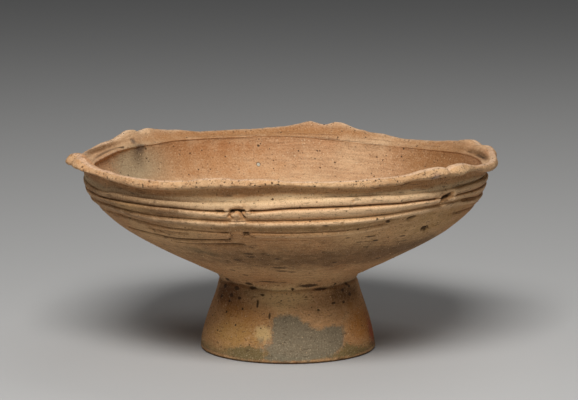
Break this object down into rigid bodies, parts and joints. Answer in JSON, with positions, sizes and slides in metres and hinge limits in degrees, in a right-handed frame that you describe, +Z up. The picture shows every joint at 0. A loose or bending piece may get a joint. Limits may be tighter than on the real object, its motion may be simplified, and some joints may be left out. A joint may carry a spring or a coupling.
{
  "type": "pedestal dish",
  "caption": "Wide shallow earthenware bowl with a scalloped, lugged rim and grooved ridges, on a flared hollow pedestal foot.",
  "frame": {"origin": "on the ground, in the middle of the dish's plan", "axes": "+Z up through the bowl; -Y towards the front as pictured; +X to the right"},
  "size_m": [0.2502, 0.2464, 0.1191],
  "materials": {
    "earthenware": "matt, smoothed by hand, unglazed"
  },
  "bodies": {
    "root": {"pedestal_dish": "earthenware"}
  },
  "joints": []
}
